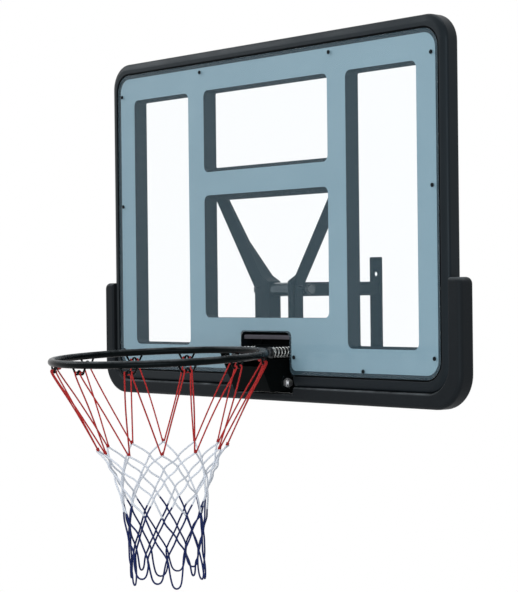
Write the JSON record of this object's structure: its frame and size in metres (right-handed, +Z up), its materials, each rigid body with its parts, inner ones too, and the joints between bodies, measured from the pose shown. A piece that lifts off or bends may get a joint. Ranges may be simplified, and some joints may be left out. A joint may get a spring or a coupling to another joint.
{
  "type": "basketball backboard",
  "caption": "Wall-mounted backboard: clear sheet with printed border in a black frame, lower edge pad, breakaway sprung ring and tri-colour cord net.",
  "frame": {"origin": "centre of the wall bolt pattern, on the wall plane", "axes": "+Z up, the board's playing face looks along -Y, +Y into the wall, +X to the right of a player who faces the board"},
  "size_m": [1.22, 0.8388, 1.1983],
  "materials": {
    "frame_black": "fine moulded grain",
    "clear_sheet": "polished clear",
    "print_grey_blue": "printed film",
    "pad_black": "matt foam skin",
    "bracket_black": "satin powder coat",
    "zinc_steel": "zinc plated",
    "spring_steel": "zinc plated",
    "ring_black": "satin powder coat",
    "cord_red": "braided cord",
    "cord_white": "braided cord",
    "cord_blue": "braided cord"
  },
  "bodies": {
    "board": {"backboard_frame": "frame_black", "backboard_sheet": "clear_sheet", "printed_border": "print_grey_blue", "edge_pad": "pad_black", "left_post": "bracket_black", "right_post": "bracket_black", "left_upper_arm": "bracket_black", "right_upper_arm": "bracket_black", "left_lower_arm": "bracket_black", "right_lower_arm": "bracket_black", "left_wall_bar": "bracket_black", "right_wall_bar": "bracket_black", "upper_spacer_tube": "bracket_black", "lower_spacer_tube": "bracket_black", "rim_base": "bracket_black", "spring_stop_tubes": "bracket_black", "upper_cross_bolt": "zinc_steel", "lower_cross_bolt": "zinc_steel", "cross_bolt_washers": "zinc_steel", "cross_bolt_nuts": "zinc_steel", "frame_bolts": "zinc_steel", "rim_hinge_bolt": "zinc_steel", "rim_hinge_nut": "zinc_steel", "spring_bolts": "zinc_steel", "spring_washers": "zinc_steel", "spring_nuts": "zinc_steel", "base_bolts": "zinc_steel", "base_nuts": "zinc_steel", "rim_springs": "spring_steel"},
    "rim": {"rim_ring": "ring_black", "net_hooks": "ring_black", "rim_bracket": "bracket_black", "rim_hinge_sleeve": "bracket_black", "net_red": "cord_red", "net_white": "cord_white", "net_blue": "cord_blue"}
  },
  "joints": [
    {"name": "rim_breakaway", "type": "hinge", "parent": "board", "child": "rim", "pos_m": [0, -0.288, -0.12], "axis": [1, 0, 0], "range_deg": [0, 18], "stiffness_Nm_per_rad": 151, "springref_deg": -10.03, "deforming": ["rim_springs"]}
  ]
}
